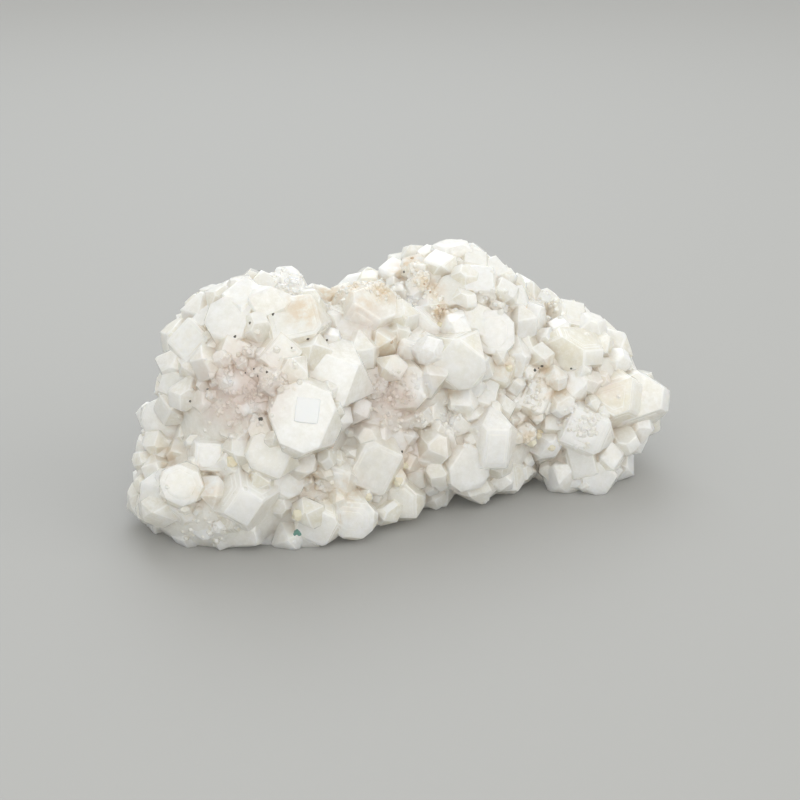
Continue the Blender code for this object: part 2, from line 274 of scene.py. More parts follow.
# %% [markdown]
# ## One crystal
#
# Apophyllite is tetragonal: a square prism whose four pyramid faces stand over the prism's
# corners, 60 degrees from the flat end. A cube is stretched and bisected by four planes at
# each end, which leaves the flat end as a small square. Every plane is moved a little, since
# no natural crystal grows evenly.

# %% Cut one crystal
PYRAMID_ANGLE = math.radians(60.3)
UNEVEN = 0.20
SIDE_RATIO = (0.88, 1.1)


def shave(place, normal):
    """Cuts off all of the edited mesh that lies beyond a plane, and closes the cut."""
    bpy.ops.mesh.select_all(action="SELECT")
    bpy.ops.mesh.bisect(
        plane_co=place, plane_no=normal, use_fill=True, clear_outer=True, threshold=1e-7
    )


def cut_crystal(width, length, flat_end, rng):
    """A crystal centred on the origin, its axis along Z, in metres."""
    half, reach = width / 2, length / 2
    deselect_all()
    bpy.ops.mesh.primitive_cube_add(size=1)
    crystal = bpy.context.object
    crystal.scale = (width * rng.uniform(*SIDE_RATIO), width, length)
    bpy.ops.object.transform_apply(location=False, rotation=False, scale=True)
    bpy.ops.object.mode_set(mode="EDIT")
    for end in (1, -1):
        for corner in range(4):
            around = math.radians(45 + 90 * corner)
            outward = Vector((math.cos(around), math.sin(around), 0))
            from_axis = half * (flat_end + rng.uniform(-UNEVEN, UNEVEN))
            on_face = outward * from_axis + Vector((0, 0, end * reach))
            along = Vector((0, 0, end * math.cos(PYRAMID_ANGLE)))
            shave(on_face, outward * math.sin(PYRAMID_ANGLE) + along)
    bpy.ops.object.mode_set(mode="OBJECT")
    return crystal


# %% [markdown]
# ## Worn edges
#
# The edges of a real crystal are never razor sharp: each one has a narrow facet that catches
# the light, some broad and some hardly there. One bevel over all edges would make them alike
# and fails where an edge is very short. So each edge of the outer end is shaved off with a
# bisect of its own, which always leaves a clean convex body. The upright edges of the prism
# are worn most, and in a share of the crystal's size.

# %% Worn edges
WEAR = (0.10, 0.55)
CORNER_WEAR = (0.14, 0.40)
OUTER_FROM = -0.25
SHORT_EDGE = 0.12
UPRIGHT = 0.1


def wear_edges(crystal, size, narrow, wide, rng):
    """Shaves a facet between narrow and wide off each long edge of the outer end."""
    shape = bmesh.new()
    shape.from_mesh(crystal.data)
    half = max(vertex.co.z for vertex in shape.verts)
    facets = []
    for edge in shape.edges:
        middle = (edge.verts[0].co + edge.verts[1].co) / 2
        if middle.z < OUTER_FROM * half or edge.calc_length() < SHORT_EDGE * size:
            continue
        normal = (edge.link_faces[0].normal + edge.link_faces[1].normal).normalized()
        if max(abs(face.normal.z) for face in edge.link_faces) < UPRIGHT:
            width = size * rng.uniform(*CORNER_WEAR)
        else:
            width = narrow + (wide - narrow) * rng.random() ** 2
        depth = width * math.tan(edge.calc_face_angle() / 2) / 2
        facets.append((middle - normal * depth, normal))
    shape.free()
    work_on(crystal)
    bpy.ops.object.mode_set(mode="EDIT")
    for place, normal in facets:
        shave(place, normal)
    bpy.ops.object.mode_set(mode="OBJECT")
    crystal["worn"] = [list(normal) for _, normal in facets]


# %% [markdown]
# ## Planting crystals
#
# Each crystal gets an even number, written on all its faces, because the union that comes
# later keeps such face numbers. A worn facet gets the odd number after it, and the core a
# negative one. The growths list remembers where each crystal stands, so that the finished
# surface can be given coordinates that follow every crystal's own axis. Finished crystals
# wait in a collection outside the scene, where they slow nothing down. A large crystal is
# STRETCH times as long as it is wide, and its middle lies SUNK widths under the surface.

# %% Planting
STRETCH = 1.2
SUNK = 0.31
CORE_NUMBER = -2
SAME_WAY = 0.9999
STEPS_ALONG = range(-60, 61, 2)
growing = bpy.data.collections.new("growing")
growths = []


def number_faces(crystal, value):
    worn = [Vector(normal) for normal in crystal.get("worn", [])]
    numbers = [
        2 * value + any(face.normal.dot(normal) > SAME_WAY for normal in worn)
        for face in crystal.data.polygons
    ]
    crystal.data.attributes.new("growth", "INT", "FACE").data.foreach_set("value", numbers)


def move_to_growing(crystal):
    for place in list(crystal.users_collection):
        place.objects.unlink(crystal)
    growing.objects.link(crystal)


def stood_up(axis, turn):
    """The rotation that stands a crystal along an axis, turned about it."""
    return axis.to_track_quat("Z", "Y").to_matrix() @ Matrix.Rotation(turn, 3, "Z")


def plant(crystal, centre, axis, turn, kind):
    """Stands a crystal in its place and numbers its faces."""
    crystal.matrix_world = Matrix.Translation(centre) @ stood_up(axis, turn).to_4x4()
    number_faces(crystal, len(growths))
    move_to_growing(crystal)
    growths.append({"place": crystal.matrix_world.copy(), "kind": kind})


def sight_line(across, up):
    """The direction from the eye to a place on the display side."""
    return (DISPLAY_CENTRE + (RIGHT * across + UP * up) * MM - EYE).normalized()


def seen_at(tree, ray):
    """Where a ray from the eye meets a surface, or where it passes nearest to it."""
    hit = tree.ray_cast(EYE, ray)[0]
    if hit is not None:
        return hit
    steps = [EYE + ray * (DISPLAY_DISTANCE + step * MM) for step in STEPS_ALONG]
    return min(steps, key=lambda point: tree.find_nearest(point)[3])


def random_vector(reach, rng):
    return Vector([rng.uniform(-reach, reach) for _ in range(3)])


def tree_of(mesh):
    shape = bmesh.new()
    shape.from_mesh(mesh)
    tree = BVHTree.FromBMesh(shape)
    shape.free()
    return tree


layout_tree = tree_of(layout_core.data)

# %% [markdown]
# ## Growth steps
#
# Large faces of apophyllite are rarely plain: thin plates lie on them, with edges that run
# parallel to the face's own. Such a plate is the crystal once more, shrunk towards a point of
# the face and pushed out by a tenth of a millimetre or two. Insetting the face would be
# quicker, but folds over itself where the face has a short edge.

# %% Growth steps
STEP_RISE = (0.06, 0.16)
STEP_COUNTS = (0, 0, 1, 1, 2)
STEP_SHRINK = (0.62, 0.93)
STEP_SLIDE = 0.8
LARGE_FACE = 0.10
OUTER_FACE = -0.2


def reach_of(face):
    """How far the nearest edge line of a face is from its middle."""
    middle = face.calc_center_median_weighted()
    reach = []
    for edge in face.edges:
        start, end = (vertex.co for vertex in edge.verts)
        direction = (end - start).normalized()
        reach.append(((middle - start) - direction * (middle - start).dot(direction)).length)
    return min(reach)


def add_growth_steps(crystal, width, rng):
    """Lays up to two thin plates on each large face of the outer end."""
    shape = bmesh.new()
    shape.from_mesh(crystal.data)
    large = [
        (face.calc_center_median_weighted(), face.normal.copy(), reach_of(face))
        for face in shape.faces
        if face.normal.z > OUTER_FACE and reach_of(face) > LARGE_FACE * width * MM
    ]
    shape.free()
    for middle, normal, reach in large:
        size, rise = 1.0, 0.0
        for _ in range(rng.choice(STEP_COUNTS)):
            shrink = rng.uniform(*STEP_SHRINK)
            slide = random_vector(STEP_SLIDE, rng) * (1 - shrink) * size * reach
            middle = middle + slide - normal * slide.dot(normal)
            size *= shrink
            rise += rng.uniform(*STEP_RISE) * MM
            plate = copy_of(crystal, "plate")
            away = Matrix.Translation(middle + normal * rise)
            plate.data.transform(away @ Matrix.Scale(size, 4) @ Matrix.Translation(-middle))
            move_to_growing(plate)


# %% [markdown]
# ## Companions
#
# A large crystal of apophyllite seldom stands alone. Smaller ones grow against its flanks,
# turned almost the same way, so that its outline runs down in steps. Eight such crystals are
# cut once in the size 1, and each copy is scaled to its width and gets its own mesh. Sizes
# and distances are shares of the large crystal's width.

# %% Companions
COMPANION_FROM = 7.5
STEPS_FROM = 8.0
COMPANION_COUNTS = (1, 1, 2, 3)
COMPANION_SIZE = (0.32, 0.62)
COMPANION_ASIDE = (0.28, 0.46)
COMPANION_LOWER = (0.06, 0.34)
COMPANION_REACH = 0.65
COMPANION_LEAN = 0.16
COMPANION_TURN = 0.15
MASTER_LENGTH = (1.1, 1.5)
MASTER_END = (0.35, 0.8)
LEAST_WEAR = 0.02
step_rng = random.Random(5)
companion_rng = random.Random(17)


def cut_master(name, wear, rng):
    master = cut_crystal(1.0, rng.uniform(*MASTER_LENGTH), rng.uniform(*MASTER_END), rng)
    master.name = name
    if wear:
        wear_edges(master, 1.0, LEAST_WEAR, wear, rng)
    return master


def scaled_copy(master, width):
    crystal = copy_of(master, "crystal")
    crystal.data.transform(Matrix.Scale(width * MM, 4))
    return crystal


companion_masters = [cut_master("companion master", 0.07, companion_rng) for _ in range(8)]


def grow_large(crystal, centre, axis, turn, width, alone=False):
    """Finishes a large crystal, plants it, and adds plates and, unless alone, companions."""
    wear_edges(crystal, width * MM, WEAR[0] * MM, WEAR[1] * MM, step_rng)
    plant(crystal, centre, axis, turn, "crystal")
    if width > STEPS_FROM:
        add_growth_steps(crystal, width, step_rng)
    if width > COMPANION_FROM and not alone:
        add_companions(centre, axis, turn, width, companion_rng)


def add_companions(centre, axis, turn, width, rng):
    """Smaller crystals against the flanks of a large one, nearly parallel to it."""
    turned = stood_up(axis, turn)
    for _ in range(rng.choice(COMPANION_COUNTS)):
        small = width * rng.uniform(*COMPANION_SIZE)
        around = rng.uniform(0, 2 * math.pi)
        aside = rng.uniform(*COMPANION_ASIDE)
        top = STRETCH / 2 - rng.uniform(*COMPANION_LOWER)
        height = top - COMPANION_REACH * small / width
        offset = Vector((math.cos(around) * aside, math.sin(around) * aside, height))
        lean = random_vector(COMPANION_LEAN, rng)
        crystal = scaled_copy(rng.choice(companion_masters), small)
        place = centre + turned @ offset * width * MM
        own_turn = turn + rng.uniform(-COMPANION_TURN, COMPANION_TURN)
        plant(crystal, place, (axis + lean).normalized(), own_turn, "crystal")


first_faces = len(companion_masters[0].data.polygons)
print("companion shapes:", len(companion_masters), "the first of", first_faces, "faces")

# %% [markdown]
# ## The front
#
# The front is not random. Each crystal that stands out was found and written down:
# across and up on the display side, width, how far it stands out, lean to the right and
# upwards, turn about its own axis, and the size of its flat end. The widest ones stand
# alone, with no companions, and are kept clear of the small crystals that come later.

# %% The crystals of the front
FRONT_CRYSTALS = [
    # the left end
    (-57, -4.5, 11.5, 2.5, -0.2, -0.1, 30, 0.75),
    (-61.5, -4, 7, 0, -1, 0.1, 10, 0.6),
    (-62, -12, 8, 0, -0.6, -0.1, 40, 0.5),
    (-53.8, -21, 10, 4.5, 0, 0, 20, 0.9),
    (-58.5, -23, 11, 0, -0.4, -0.3, 40, 0.5),
    (-58, -14, 8.5, 0, 0.2, 0, 0, 0.8),
    (-61.5, -19, 7, 0, -0.9, 0, 15, 0.7),
    (-46, -14, 12, 1, -0.1, 0, 45, 0.7),
    (-40, -6, 11.5, 0, 0.3, -0.5, 0, 0.3),
    (-40, -12, 8, 0, 0.4, 0.2, 30, 0.8),
    (-32.5, -13, 12, 2.5, 0.1, -0.1, 20, 0.8),
    (-38.5, -22.5, 16.5, 2.5, 0.1, -0.3, 10, 0.4),
    (-31, -19.5, 10, 0, 0.6, 0, 5, 0.9),
    (-25.5, -16, 8, 0, 0.1, 0.2, 25, 0.8),
    (-28, -24.5, 6, 0, 0.3, 0.4, 50, 0.6),
    (-24.5, -26, 6.5, 0, -0.3, 0.1, 70, 0.6),
    (-39, -32, 7.5, 0, 3, 0.2, 5, 0.9),
    (-31, -34.5, 9.5, 3.5, 0.2, -0.2, 30, 0.7),
    (-23.5, -34, 7.5, 3.5, 0.1, -0.4, 60, 0.6),
    (-48, -31, 6, -1, -0.3, -0.3, 15, 0.7),
    (-44.5, -34, 5.5, -1, 0.3, -0.3, 60, 0.7),
    (-54, -28, 5.5, -1.5, -0.5, -0.3, 35, 0.7),
    (-52.5, -27, 8.5, 0, -0.4, 0.3, 25, 0.5),
    (-44, -28.5, 9, 0, 0.5, 0.4, 65, 0.5),
    (-54, 4, 10, 0, -0.4, 0.1, 35, 0.5),
    (-50, 13, 11.5, 0, -0.4, 0.3, 15, 0.6),
    (-55, 5, 8, 0, -0.9, 0.3, 30, 0.6),
    (-54.5, 13, 6, 0, -0.9, 0.4, 50, 0.6),
    (-51, 18, 7, 0, -0.8, 0.7, 20, 0.7),
    # the top of the left lobe
    (-41, 17.5, 12, -0.5, -0.1, 0.4, 35, 0.8),
    (-27.5, 17, 15, -0.5, 0.1, 0.4, 55, 0.8),
    (-46, 19, 8, 0, -0.5, 0.8, 25, 0.7),
    (-48, 21.5, 5.5, 0, -0.6, 0.8, 50, 0.7),
    (-41.5, 25, 7, 0, -0.2, 0.9, 15, 0.7),
    (-38, 21.5, 12, 0, -0.1, 0.8, 10, 0.6),
    (-28, 27, 9, 0, 0, 0.8, 50, 0.8),
    (-33.5, 27, 7.5, 0, 0, 0.7, 15, 0.6),
    (-41, 12, 9, 0, 0.1, 0.1, 20, 0.6),
    (-31, 11, 10.5, 0, 0.2, 0.1, 0, 0.6),
    (-29.5, 4, 8, 0, 0.3, 0, 35, 0.6),
    (-44, 7, 7.5, 0, -0.1, -0.2, 55, 0.6),
    (-43, 4.5, 5.5, 0, 0.1, 0.6, 10, 0.8),
    (-36, 7.5, 7.5, 0, 0.2, -0.3, 75, 0.5),
    (-48, 0, 7.5, 0, 0.3, 0.1, 40, 0.6),
    (-37, -2, 5, 0, 0.1, 0.5, 20, 0.9),
    # the middle
    (-23.8, -5, 17, 3, 0.05, 0.1, 20, 0.8),
    (-17, 5.5, 15.5, 3.5, 0, 0, 25, 0.8),
    (-12, 13.5, 11.5, 0, 0.1, 0.8, 30, 0.9),
    (-8, 20, 19, 2, -0.2, -0.3, 15, 0.5),
    (-15.5, 17.5, 10, 0, -0.4, 0.3, 35, 0.7),
    (-3, 13, 6.5, 0, 0.3, -0.3, 20, 0.6),
    (4, 24.5, 9, 0, 0.1, 0.5, 40, 0.3),
    (5, 18, 12, 0, 0, -0.1, 5, 0.8),
    (3, 11, 12, 0, 0, -0.2, 30, 0.6),
    (1.5, 3.5, 12, 0, -0.1, -0.1, 50, 0.7),
    (6.5, 3, 7.5, 0, 0.5, 0.3, 45, 0.3),
    (13.5, 10.5, 13.5, 5.5, 0.1, -0.25, 5, 0.75),
    (16.5, 18.5, 11.5, -1.5, 0.4, 0.2, 20, 0.7),
    (23, 16, 11.5, -0.5, 0, 0.1, 0, 0.9),
    (18, 0, 10.5, 0, 0.2, 0.5, 20, 0.8),
    (12.5, 1.5, 6, 0, 0.1, -0.1, 0, 0.7),
    (7.5, -4, 8.5, 0, -0.2, 0.1, 50, 0.6),
    (13, -5, 8, 0, 0.1, 0.3, 30, 0.5),
    (10, -9, 9, 0, -0.1, -0.4, 15, 0.7),
    (-6, -8, 10, 0, 0, 0.2, 45, 0.6),
    (-2.5, -10.5, 8, 0, 0.3, 0, 10, 0.8),
    (-12.5, -9.5, 8, 0, -0.2, 0.1, 60, 0.7),
    (-7, -15.5, 14, 3.5, 0.2, -0.15, 15, 0.75),
    (-16, -18, 11, 2, -0.1, -0.2, 30, 0.7),
    (-20, -29.5, 10.5, 1.5, -0.1, -0.3, 20, 0.8),
    (-12.5, -27.5, 12, 1, 0.1, -0.2, 38, 0.8),
    (-6.5, -28, 5.5, 0, 0.3, -0.4, 20, 0.7),
    (-0.5, -23.8, 12, 1.5, 0, -0.3, 45, 0.75),
    (5, -13.5, 8, 0, 0.1, 0.1, 30, 0.7),
    (1, -12.5, 6.5, 0, -0.2, 0.2, 75, 0.7),
    (3, -18.5, 8, 0, 0.2, -0.4, 50, 0.6),
    (-1, 30, 8, 0, -0.3, 1, 25, 0.8),
    (-20, 23, 9, 0, 0, 0.7, 20, 0.8),
    (-10, 25, 9.5, -1, -0.3, 0.8, 70, 0.9),
    (4, 31.5, 8, 0, 0.1, 0.8, 60, 0.8),
    (6.5, 28, 7.5, 0, 0.1, 0.5, 15, 0.7),
    (12, 25, 9, 0, 0.1, 0.5, 10, 0.8),
    # the right lobe and its skyline
    (11.5, 33, 9.5, 0, -0.2, 1, 30, 0.5),
    (17.5, 32, 9, 0, 0.3, 1, 15, 0.7),
    (22.5, 30, 9, 0, 0.5, 0.9, 50, 0.7),
    (26.5, 28, 6.5, 0, 0.6, 0.9, 20, 0.6),
    (33.5, 23, 7.5, 0, 0.5, 0.9, 0, 0.7),
    (19, 27, 12, 0, 0.2, 0.5, 35, 0.6),
    (27.5, 24, 8.5, 0, 0.2, 0.5, 45, 0.6),
    (31, 19, 11, 0, 0.1, 0.3, 20, 0.6),
    (30, 13, 10.5, 0, 0, 0.1, 65, 0.6),
    (40.5, 18, 14, 0, 0.4, 0.7, 20, 0.6),
    (42, 12, 16, 2.5, 0.8, -0.2, 35, 0.3),
    (46.5, 16, 7.5, 0, 0.8, 0.4, 15, 0.7),
    (24, 7.5, 10, 0, 0.1, 0, 25, 0.6),
    (27.5, 7, 6, 0, -0.2, 0.2, 45, 0.7),
    (27, 0.5, 9, 0, 0, 0.1, 50, 0.7),
    (33.5, 0.5, 11, 0, 0, 0.2, 20, 0.6),
    (36, 6, 6.5, 0, 0.2, 0.1, 70, 0.6),
    (43, 3.5, 9.5, 0, -0.2, 0.2, 0, 0.9),
    (57.2, -0.5, 18, 1, 1.5, -0.05, 15, 0.3),
    (51.5, -0.5, 16, 2.5, 1.5, -0.05, 15, 0.6),
    (48.5, 5.5, 9.5, 0, 0.8, 0.6, 30, 0.6),
    (49.5, 12.5, 6.5, -0.5, 0.9, 0.5, 40, 0.7),
    (45, -6.5, 14.5, 3, 0, -0.1, 22, 0.8),
    (56, -9, 9, 0, 0.4, -0.2, 15, 0.7),
    (52, -13.5, 7.5, 0, 0.1, -0.1, 30, 0.8),
    (45, -14, 11, 0, 0, -0.2, 60, 0.7),
    (48.5, -18.5, 9.5, 0, 0.2, -0.2, 10, 0.8),
    (44, -19, 7.5, 0, -0.1, -0.2, 45, 0.5),
    (38.5, -18.5, 6.5, 0, 0.2, -0.3, 20, 0.6),
    (32, -17, 10.5, 0, 0.2, -0.3, 30, 0.6),
    (26.5, -18, 10.5, 0, -0.2, -0.3, 55, 0.6),
    (21.5, -20, 7.5, 0, 0.1, -0.3, 5, 0.7),
    (9.5, -22.5, 7, 0, 0, -0.4, 40, 0.7),
    (6, -24, 6.5, 0, 0, -0.4, 25, 0.7),
    (22, -9.5, 14, 3, 0.2, -0.35, 40, 0.6),
    (14, -16, 12, 0, 0.5, -0.1, 0, 0.9),
    (33, -11, 6.5, 0, 0.1, 0, 35, 0.7),
    (36, -9, 6, 0, 0.3, 0.3, 65, 0.7),
    (29, -5.5, 7.5, 0, -0.1, 0.1, 15, 0.6),
    (37.5, -5, 7.5, 0, 0.1, 0.1, 40, 0.7),
]

PROMINENT_FROM = 11.9
layout_rng = random.Random(11)
taken, prominent = [], set()
for across, up, width, lift, lean_right, lean_up, turn, flat_end in FRONT_CRYSTALS:
    ray = sight_line(across, up)
    centre = seen_at(layout_tree, ray) + ray * (SUNK * width - lift) * MM
    axis = (RIGHT * lean_right + UP * lean_up + BACK).normalized()
    crystal = cut_crystal(width * MM, width * STRETCH * MM, flat_end, layout_rng)
    stands_alone = width >= PROMINENT_FROM
    if stands_alone:
        prominent.add(len(growths))
    grow_large(crystal, centre, axis, math.radians(turn), width, stands_alone)
    taken.append((centre, width))
print("front crystals:", len(taken), "prominent:", len(prominent))

# %% [markdown]
# ## Sides, top and back
#
# What the front list leaves bare is covered by crystals scattered over the core. A random
# point on the surface is kept only if nothing stands within a gap of it, and the crystal
# grows outwards along the surface's normal, with some lean. At the back they are larger.

# %% Scatter
SCATTER_GAP = 8.5
SCATTER_WIDTHS = (9.0, 15.0)
FILL_GAP = 5.6
FILL_WIDTHS = (5.0, 8.5)
SCATTER_TRIES = 4000
SCATTER_LEAN = 0.45
SCATTER_END = (0.35, 0.85)
KEEP_OFF = 0.25
BACK_FROM = -0.4
BACK_SCALE = 1.45
UNDERSIDE_LIMIT = -0.55


def surface_points(mesh, count, rng):
    """Points spread evenly by area over a mesh, each with the face's outward direction."""
    mesh.calc_loop_triangles()
    triangles = list(mesh.loop_triangles)
    weights = [triangle.area for triangle in triangles]
    points = []
    for triangle in rng.choices(triangles, weights, k=count):
        a, b, c = (mesh.vertices[v].co for v in triangle.vertices)
        s, t = rng.random(), rng.random()
        if s + t > 1:
            s, t = 1 - s, 1 - t
        points.append((a + (b - a) * s + (c - a) * t, triangle.normal.copy()))
    return points


def scatter(mesh, gap, widths, rng):
    for point, normal in surface_points(mesh, SCATTER_TRIES, rng):
        scale = 1 if normal.dot(BACK) > BACK_FROM else BACK_SCALE
        if normal.z < UNDERSIDE_LIMIT:
            continue
        if any((point - p).length < (gap * scale + w * KEEP_OFF) * MM for p, w in taken):
            continue
        width = rng.uniform(*widths) * scale
        axis = (normal + random_vector(SCATTER_LEAN, rng)).normalized()
        centre = point - normal * width * SUNK * MM
        turn, flat_end = rng.uniform(0, math.pi), rng.uniform(*SCATTER_END)
        crystal = cut_crystal(width * MM, width * STRETCH * MM, flat_end, rng)
        grow_large(crystal, centre, axis, turn, width)
        taken.append((point, width))


before = len(growths)
scatter(layout_core.data, SCATTER_GAP, SCATTER_WIDTHS, layout_rng)
scatter(layout_core.data, FILL_GAP, FILL_WIDTHS, layout_rng)
print("scattered crystals:", len(growths) - before)

# %% [markdown]
# ## Growing together
#
# All crystals and the core are one body, so light can wander through the whole of it. A
# Boolean union with a collection joins them in one step. The MANIFOLD solver is used here
# because every crystal is a closed body and there are many hundreds of them, which the
# exact solver would take minutes over. The union is made three times: the first two only
# show the next crystals where they can stand.

# %% Union
def grow_together(name):
    """The union of the core and everything that is growing, as a new object."""
    body = copy_of(core, name)
    number = body.data.attributes.new("growth", "INT", "FACE")
    number.data.foreach_set("value", [CORE_NUMBER] * len(body.data.polygons))
    join = body.modifiers.new("grown together", "BOOLEAN")
    join.operation = "UNION"
    join.operand_type = "COLLECTION"
    join.collection = growing
    join.solver = "MANIFOLD"
    bpy.context.scene.collection.children.link(growing)
    apply_modifiers(body)
    bpy.context.scene.collection.children.unlink(growing)
    return body


first_growth = grow_together("first growth")
first_tree = tree_of(first_growth.data)
first_numbers = [number.value // 2 for number in first_growth.data.attributes["growth"].data]
print("large crystals together:", len(first_growth.data.polygons), "faces")

# %% [markdown]
# ## Small crystals in the gaps
#
# In the hollows between the large crystals sits a crowd of small ones. A hollow is found by
# looking out from a point in many directions: where most of the looks are blocked soon, the
# point lies deep. The small crystals stand deep in the ground, so that only caps show. Core
# that is bare gets them more easily, and most easily on the side turned away from the eye.

# %% How open a place is
LOOKS = 28
LOOK_LENGTH = 6.0
LIFT_OFF = 0.1
GRAZING = 0.1


def directions(count):
    """Directions spread evenly over a sphere, along a spiral."""
    golden = math.pi * (3 - math.sqrt(5))
    spread = []
    for step in range(count):
        z = 1 - 2 * (step + 0.5) / count
        ring = math.sqrt(1 - z * z)
        around = golden * step
        spread.append(Vector((math.cos(around) * ring, math.sin(around) * ring, z)))
    return spread


LOOK_DIRECTIONS = directions(LOOKS)


def hidden_share(tree, point, normal, look_length=LOOK_LENGTH * MM):
    """From 0, wide open, to 1, shut in: the share of looks that are blocked nearby."""
    start = point + normal * LIFT_OFF * MM
    blocked = total = 0.0
    for look in LOOK_DIRECTIONS:
        facing = look.dot(normal)
        if facing < GRAZING:
            continue
        total += facing
        distance = tree.ray_cast(start, look, look_length)[3]
        if distance is not None:
            blocked += facing * (1 - distance / look_length)
    return blocked / total if total else 1.0


# %% Fill the hollows
small_rng = random.Random(23)
small_masters = [cut_master("small master", 0, small_rng) for _ in range(6)]
FILL_PASSES = [(6000, (5.0, 8.5), 0.25), (8000, (2.4, 4.4), 0.22)]
FILL_SHARE = 4
FILL_APART = 0.36
FILL_LEAN = 0.6
FILL_SUNK = (0.02, 0.30)
FACETED_FROM = 3
LOWEST = 1 * MM
PROMINENT_HOLLOW = 0.42
BARE_CORE = CORE_NUMBER // 2
BARE_HOLLOW = 0.02
TURNED_AWAY = 0.25
AWAY_CHANCE = 0.7


def plant_small(point, normal, width, lean, sunk, kind, rng, masters):
    axis = (normal + random_vector(lean, rng)).normalized()
    crystal = scaled_copy(rng.choice(masters), width)
    plant(crystal, point - normal * width * sunk * MM, axis, rng.uniform(0, math.pi), kind)


planted = []
for tries, widths, hollow in FILL_PASSES:
    for point, normal in surface_points(first_growth.data, tries, small_rng):
        if normal.z < UNDERSIDE_LIMIT or point.z < LOWEST:
            continue
        shut_in = hidden_share(first_tree, point, normal)
        host = first_numbers[first_tree.find_nearest(point)[2]]
        if host in prominent and shut_in < PROMINENT_HOLLOW:
            continue
        chance = (shut_in - (BARE_HOLLOW if host == BARE_CORE else hollow)) * FILL_SHARE
        if host == BARE_CORE and normal.dot(BACK) < TURNED_AWAY:
            chance = AWAY_CHANCE
        if small_rng.random() > chance:
            continue
        width = small_rng.uniform(*widths)
        if any((point - p).length < FILL_APART * (width + w) * MM for p, w in planted):
            continue
        masters = companion_masters if width > FACETED_FROM else small_masters
        sunk = small_rng.uniform(*FILL_SUNK)
        plant_small(point, normal, width, FILL_LEAN, sunk, "crystal", small_rng, masters)
        planted.append((point, width))
    print("crystals in the hollows:", len(planted))

# %% [markdown]
# ## The plateau
#
# The largest crystal of the middle carries a small bluish plateau. It is one more crystal,
# planted so deep in the face that only a thin slab shows, and its pale bluish colour is a
# painted reflection.

# %% Plateau
PLATEAU = (-23.2, -2.6, 6.0)
PLATEAU_HEIGHT = 2.5
PLATEAU_RISE = 0.4
PLATEAU_END = 1.5
PLATEAU_TURN = math.radians(-8)

across, up, width = PLATEAU
spot, facing = first_tree.ray_cast(EYE, sight_line(across, up))[:2]
slab = cut_crystal(width * MM, PLATEAU_HEIGHT * MM, PLATEAU_END, random.Random(3))
middle = spot - facing * (PLATEAU_HEIGHT / 2 - PLATEAU_RISE) * MM
plant(slab, middle, facing, PLATEAU_TURN, "plateau")
print("the plateau is", width, "mm wide")

# %% Second growth
second_growth = grow_together("second growth")
second_tree = tree_of(second_growth.data)
print("with the small crystals:", len(second_growth.data.polygons), "faces")

# %% [markdown]
# ## Druse
#
# Here and there the ground is a druse, a crust of tiny crystals: over the hollow on the left,
# on the saddle, along the top and on one large crystal near the right end. Elsewhere tiny
# crystals are rare. Each patch is a ball around a place seen on the front: across, up,
# radius and density. A grid of cells keeps two crystals from growing in one spot.

# %% Druse
DRUSE = [
    (-40, 2, 12, 0.8), (-33, 6, 8, 0.6), (-1, 0, 9, 0.8), (5, -5, 6, 0.5), (-13, 28, 7, 0.8),
    (-4, 27.5, 7, 0.8), (-27, 29, 7, 0.5), (3, 30, 7, 0.8), (10, 24, 5, 0.8), (33, 3, 6, 0.6),
    (33, -9, 5, 0.6), (44.7, -6.2, 7, 0.7), (12.5, -5, 5, 0.8), (38, 24, 8, 0.3),
    (-21, -20, 6, 0.4), (-48, -34, 8, 0.4), (24, 26, 7, 0.3),
]
DRUSE_TRIES = 30000
DRUSE_ELSEWHERE = 0.004
DRUSE_SHARE = 1.6
DRUSE_CELL = 0.75
DRUSE_WIDTHS = (0.8, 1.5)
DRUSE_LEAN = 0.8
DRUSE_SUNK = (0.15, 0.45)

druse_patches = []
for across, up, radius, density in DRUSE:
    middle = second_tree.ray_cast(EYE, sight_line(across, up))[0]
    if middle is not None:
        druse_patches.append((middle, radius * MM, density))


def druse_density(point):
    """How thickly tiny crystals stand at a point: 0 to 1."""
    thickest = DRUSE_ELSEWHERE
    for middle, radius, density in druse_patches:
        thickest = max(thickest, density * (1 - (point - middle).length / radius))
    return thickest


cells = set()
druse_rng = random.Random(31)
for point, normal in surface_points(second_growth.data, DRUSE_TRIES, druse_rng):
    if normal.z < UNDERSIDE_LIMIT or point.z < LOWEST:
        continue
    if druse_rng.random() > DRUSE_SHARE * druse_density(point):
        continue
    width = druse_rng.uniform(*DRUSE_WIDTHS)
    cell = tuple(int(c // (DRUSE_CELL * MM)) for c in point)
    if cell in cells:
        continue
    cells.add(cell)
    sunk = druse_rng.uniform(*DRUSE_SUNK)
    plant_small(point, normal, width, DRUSE_LEAN, sunk, "druse", druse_rng, small_masters)
print("druse crystals:", len(cells))

# %% [markdown]
# ## Specks and grains
#
# A few foreign grains sit on the crystals: black specks in the hollows, small yellow
# crystals, rusty ones on the top, a green grain near the foot and a dark red dot. They grow
# in like the rest and are told apart later by their colour, and so is the plateau. Each row
# is across, up and width.

